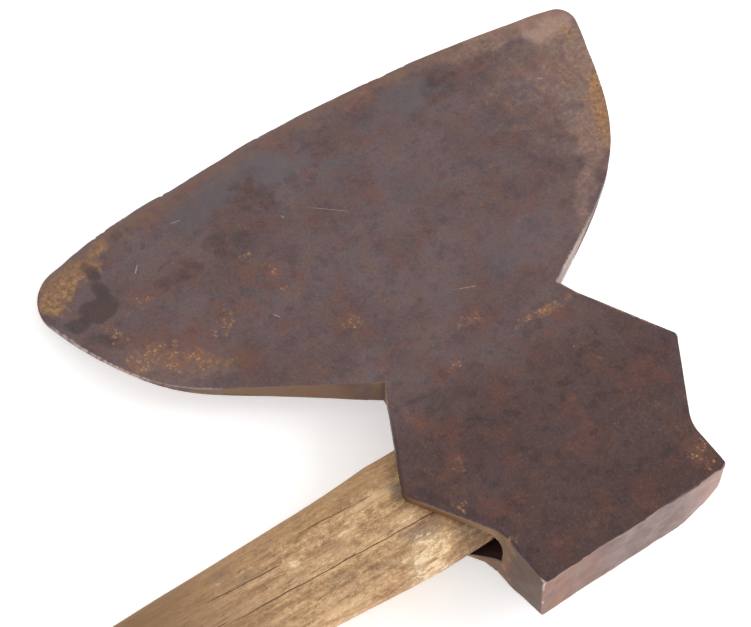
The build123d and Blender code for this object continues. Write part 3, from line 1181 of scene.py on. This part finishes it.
def weathered_and_shaded(shader, head, colour, x, y):
    """The haft's grime, cream and grey patches, flecks, its darker, smoother grip, and painted shade
    along its side toward the cutting edge.
    """
    flecks = shader.noise(head, (6.0, 2.6, 2.6), shift=31.0, detail=7.0, rough=0.78)
    blots = shader.noise(head, (5.0, 2.6, 2.6), shift=37.0, detail=7.0, rough=0.8)
    grain = shader.noise(head, (2.2, 1.5, 1.5), shift=41.0, detail=6.0, rough=0.8)
    handled = shader.step(x, *HANDLED, 0.8)
    lively = shader.minus(1.0, handled)
    colour = shader.layer(colour, [
        (flecks, 0.53, 0.62, 0.6, "dark fleck"),
        (flecks, 0.47, 0.38, 0.75, "light fleck"),
        (grain, 0.52, 0.64, 0.5, "dark grain"),
        (grain, 0.48, 0.36, 0.5, "light grain"),
    ], within=lively)
    light = shader.attribute("cream")
    wash = shader.times(light, shader.step(blots, 0.3, 0.5), 0.7)
    colour = shader.mix(wash, colour, "cream wash")
    grey = shader.times(shader.attribute("grey"), shader.step(blots, 0.4, 0.55), 0.8)
    colour = shader.mix(grey, colour, "grey")
    limit = shader.minus(0.62, shader.times(light, 0.16))
    cream = shader.math("MULTIPLY", shader.minus(blots, limit), 14.0, clamp=True)
    colour = shader.mix(shader.times(cream, lively, 0.9), colour, "cream")
    # Painted shade: the haft's side toward the cutting edge, which faces away from the key light.
    colour = shader.layer(colour, [(y, *FACET_SHADE, 0.5, "facet_shade")])
    return shader.mix(handled, colour, "handled")


def cracked(shader, colour, x, y, z):
    """Dark lines in the drying cracks, which waver along the grain."""
    slow = shader.math("SINE", shader.times(x, 0.19))
    quick = shader.math("SINE", shader.times(x, 0.47))
    waver = shader.plus(shader.times(slow, 0.16), shader.times(quick, 0.12))
    crack = shader.times(shader.lines(x, y, CRACKS, waver), shader.step(z, *UPPER_SIDE), 0.92)
    return shader.mix(crack, colour, "crack")


def ring_grain(shader, y, z):
    """End grain: growth rings about a heart that lies below the haft."""
    heart_y, heart_z = RING_HEART
    aside = shader.minus(y, heart_y)
    above = shader.minus(z, heart_z)
    square = shader.plus(shader.times(aside, aside), shader.times(above, above))
    wave = shader.math("SINE", shader.times(shader.math("SQRT", square), RING_PITCH))
    return shader.mix(shader.step(wave, -0.6, 0.9), "light ring", "dark ring")


def wood_material(name, light, dark, worn):
    """Straight-grained hardwood; worn adds the haft's weathering and cracks, and painted shade along its
    side toward the cutting edge.
    """
    shader = Shader(name)
    head = shader.attribute("head", "Vector")
    x, y, z = shader.split(head)
    streak = shader.noise(head, (70.0, 3.4, 3.4), shift=4.0)
    fibre = shader.noise(head, (26.0, 0.7, 0.7), shift=8.0, detail=3.0)
    pores = shader.noise(head, (9.0, 0.45, 0.45), shift=17.0, detail=2.0)
    pore = shader.step(pores, 0.66, 0.72)
    colour = shader.mix(shader.step(streak, 0.35, 0.65), dark, light)
    if worn:
        colour = weathered_and_shaded(shader, head, colour, x, y)
    colour = shader.layer(colour, [(fibre, 0.45, 0.28, 0.28, "fibre")])
    colour = shader.mix(shader.times(pore, 0.5), colour, "pore")
    if worn:
        colour = cracked(shader, colour, x, y, z)
    end = shader.times(shader.attribute("end"), 0.7)
    colour = shader.mix(end, colour, ring_grain(shader, y, z))
    height = shader.plus(shader.times(fibre, 0.5), shader.times(streak, 0.4))
    height = shader.minus(height, shader.times(pore, 0.5))
    roughness = shader.plus(shader.times(streak, 0.25), 0.55)
    return shader.finish(colour, roughness, 0.0, shader.bump(height, 0.3), shine=0.25)


# ---------------- camera, light and floor

VIEW_AIM = (-29.95, 148.49, 0.0)
VIEW_ELEVATION = math.radians(64.46)
VIEW_AZIMUTH = math.radians(-53.84)
VIEW_ROLL = math.radians(20.90)
VIEW_DISTANCE = 1.15539
VIEW_LENS = 124.93
SENSOR_WIDTH = 36.0

KEY_AIM = (0.0, 120.0, 0.0)
KEY_DIRECTION = (0.95, -0.4, 0.75)
KEY_DISTANCE = 1.7
KEY_SIZE = 1.2
KEY_POWER = 14.0

WHITE = (1.0, 1.0, 1.0, 1.0)
HORIZON_LIGHT = 1.38
ZENITH_LIGHT = 0.57
FLOOR_HALF = 4.0
FLOOR_COLOUR = (0.9, 0.89, 0.885, 1.0)
FLOOR_GLOW = 0.44


def looking(place, back):
    """The matrix of a camera or light that stands at place and faces the opposite way from back."""
    turn = back.to_track_quat("Z", "Y").to_matrix().to_4x4()
    return Matrix.Translation(place) @ turn


def add_camera():
    level = math.cos(VIEW_ELEVATION)
    across = math.sin(VIEW_AZIMUTH) * level
    away = -math.cos(VIEW_AZIMUTH) * level
    back = Vector((across, away, math.sin(VIEW_ELEVATION)))
    camera = show(bpy.data.objects.new("camera", bpy.data.cameras.new("camera")))
    camera.data.lens = VIEW_LENS
    camera.data.sensor_width = SENSOR_WIDTH
    place = Vector(to_row(np.array(VIEW_AIM))) + back * VIEW_DISTANCE
    camera.matrix_world = looking(place, back) @ Matrix.Rotation(VIEW_ROLL, 4, "Z")
    bpy.context.scene.camera = camera


def add_key_light():
    """One broad soft light from beyond the poll."""
    light = bpy.data.lights.new("key", "AREA")
    light.shape = "DISK"
    light.size = KEY_SIZE
    light.energy = KEY_POWER
    lamp = show(bpy.data.objects.new("key", light))
    back = Vector(KEY_DIRECTION).normalized()
    place = Vector(to_row(np.array(KEY_AIM))) + back * KEY_DISTANCE
    lamp.matrix_world = looking(place, back)


def add_world():
    """A white studio that is brighter at the horizon than overhead."""
    world = bpy.data.worlds.new("studio")
    world.use_nodes = True
    tree = world.node_tree
    way = tree.nodes.new("ShaderNodeTexCoord")
    parts = tree.nodes.new("ShaderNodeSeparateXYZ")
    fade = tree.nodes.new("ShaderNodeMapRange")
    fade.inputs["To Min"].default_value = HORIZON_LIGHT
    fade.inputs["To Max"].default_value = ZENITH_LIGHT
    tree.links.new(way.outputs["Generated"], parts.inputs[0])
    tree.links.new(parts.outputs["Z"], fade.inputs["Value"])
    tree.links.new(fade.outputs["Result"], tree.nodes["Background"].inputs["Strength"])
    tree.nodes["Background"].inputs["Color"].default_value = WHITE
    bpy.context.scene.world = world
    bpy.context.scene.view_settings.view_transform = "Standard"


def add_floor():
    level = cad_box[0][2]
    corners = [(-1, -1), (1, -1), (1, 1), (-1, 1)]
    shape = bpy.data.meshes.new("floor")
    shape.from_pydata([(FLOOR_HALF * x, FLOOR_HALF * y, level) for x, y in corners], [], [(0, 1, 2, 3)])
    floor = show(bpy.data.objects.new("floor", shape))
    shader = Shader("studio_floor")
    shader.feed(shader.surface.inputs["Base Color"], FLOOR_COLOUR)
    shader.feed(shader.surface.inputs["Roughness"], 0.9)
    shader.feed(shader.surface.inputs["Emission Color"], WHITE)
    shader.feed(shader.surface.inputs["Emission Strength"], FLOOR_GLOW)
    shape.materials.append(shader.material)


# ---------------- the whole axe

iron = iron_material("wrought_iron", cool=0.6)
steel = iron_material("bit_steel", cool=1.0)
haft_wood = wood_material("haft_wood", "haft", "haft shade", worn=True)
wedge_wood = wood_material("wedge_wood", "wedge", "wedge shade", worn=False)
wedge_iron = iron_material("wedge_iron", cool=0.3)

forge("eye_body", iron, POLL_PLANES)
forge("blade_plate", iron)
forge("steel_bit", steel)
carve_haft(haft_wood)
drive_wedge("wood_wedge", wedge_wood, roughness=0.25, proud=0.5)
drive_wedge("cross_wedges", wedge_iron, roughness=0.2, proud=0.2)

add_floor()
add_world()
add_key_light()
add_camera()
